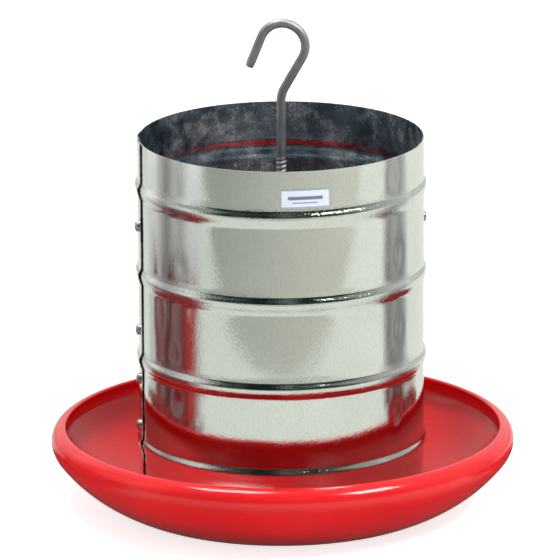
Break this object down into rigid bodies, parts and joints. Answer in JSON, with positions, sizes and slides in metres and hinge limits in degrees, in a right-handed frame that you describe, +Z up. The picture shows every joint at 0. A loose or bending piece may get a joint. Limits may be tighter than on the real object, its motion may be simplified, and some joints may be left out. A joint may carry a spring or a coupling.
{
  "type": "hanging gravity poultry feeder",
  "caption": "Riveted sheet-metal feed tube with swaged beads, hung on a hooked threaded rod above a red moulded dish with an inward-curled lip and a feed-spreading cone.",
  "frame": {"origin": "centre of the dish's flat underside, where the feeder stands when it isn't hung", "axes": "+Z up along the rod, -Y to the front (the blank label), the lap seam near -X"},
  "size_m": [0.409, 0.409, 0.436],
  "materials": {
    "galvanised_sheet": "bright galvanised, fine spangle",
    "zinc_plate": "satin zinc plate",
    "rod_steel": "dull drawn steel",
    "dish_plastic": "glossy moulded",
    "label_film": "blank printed film"
  },
  "bodies": {
    "dish_and_rod": {"feed_dish": "dish_plastic", "hook_rod": "rod_steel", "dish_upper_washer": "zinc_plate", "dish_upper_nut": "zinc_plate", "dish_lower_washer": "zinc_plate", "dish_lower_nut": "zinc_plate"},
    "hopper": {"hopper_shell": "galvanised_sheet", "seam_rivet_1": "zinc_plate", "seam_rivet_2": "zinc_plate", "seam_rivet_3": "zinc_plate", "seam_rivet_4": "zinc_plate", "crossbar_rivet": "zinc_plate", "crossbar": "zinc_plate", "label_plate": "label_film", "height_washer": "zinc_plate", "lock_washer": "zinc_plate"},
    "wing_nut": {"height_wing_nut": "zinc_plate"},
    "jam_nut": {"lock_nut": "zinc_plate"}
  },
  "joints": [
    {"name": "tube_height", "type": "slide", "parent": "dish_and_rod", "child": "hopper", "axis": [0, 0, 1], "range_m": [-0.013, 0.035]},
    {"name": "wing_nut_turn", "type": "hinge", "parent": "hopper", "child": "wing_nut", "pos_m": [0, 0, 0.256], "axis": [0, 0, 1], "range_deg": [-1171, 3151]},
    {"name": "lock_nut_turn", "type": "hinge", "parent": "hopper", "child": "jam_nut", "pos_m": [0, 0, 0.2715], "axis": [0, 0, 1], "range_deg": [-1171, 3151]}
  ],
  "couplings": [
    {"joint": "wing_nut_turn", "follows": "tube_height", "rad_per_m": 1570.8},
    {"joint": "lock_nut_turn", "follows": "tube_height", "rad_per_m": 1570.8}
  ]
}
